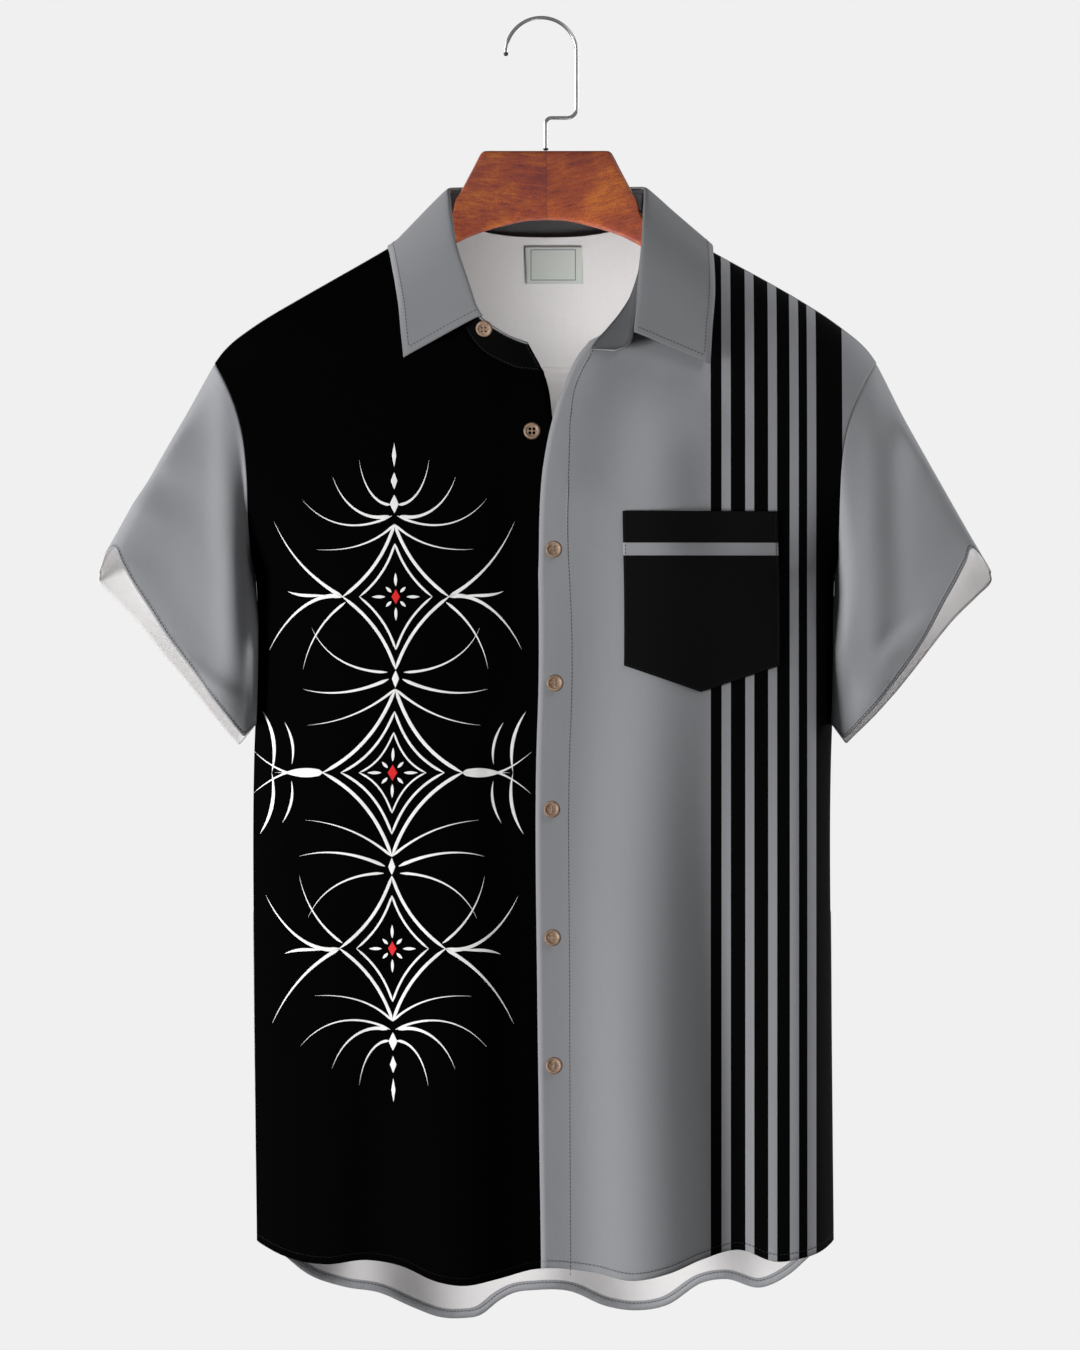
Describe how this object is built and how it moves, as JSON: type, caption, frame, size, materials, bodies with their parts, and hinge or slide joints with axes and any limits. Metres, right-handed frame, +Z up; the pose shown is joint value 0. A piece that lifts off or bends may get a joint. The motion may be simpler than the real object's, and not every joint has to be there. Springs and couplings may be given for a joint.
{
  "type": "bowling shirt on a hanger",
  "caption": "Short-sleeved bowling shirt with a point collar, a chest pocket and a curved hem, hanging buttoned on a wooden hanger with a wire hook.",
  "frame": {"origin": "on the inside of the hook's crown, where a rail carries the hanger", "axes": "+Z up, -Y to the shirt's front, +X to the wearer's left"},
  "size_m": [0.6472, 0.2058, 0.9384],
  "materials": {
    "black_cloth": "smooth printed cloth, dull",
    "grey_cloth": "smooth printed cloth, soft sheen",
    "label_cloth": "woven satin",
    "wood": "red-brown varnish",
    "wire": "polished",
    "ferrule": "darkened",
    "button": "brown, satin"
  },
  "bodies": {
    "root": {"front_right": "black_cloth", "front_left": "grey_cloth", "back": "grey_cloth", "yoke": "grey_cloth", "sleeve_right": "grey_cloth", "sleeve_left": "grey_cloth", "collar_stand": "grey_cloth", "collar_leaf": "grey_cloth", "chest_pocket": "black_cloth", "neck_label": "label_cloth", "button_1": "button", "button_2": "button", "button_3": "button", "button_4": "button", "button_5": "button", "button_6": "button", "button_7": "button", "hanger_right": "wood", "hanger_left": "wood", "hook": "wire", "hook_ferrule": "ferrule"}
  },
  "joints": []
}
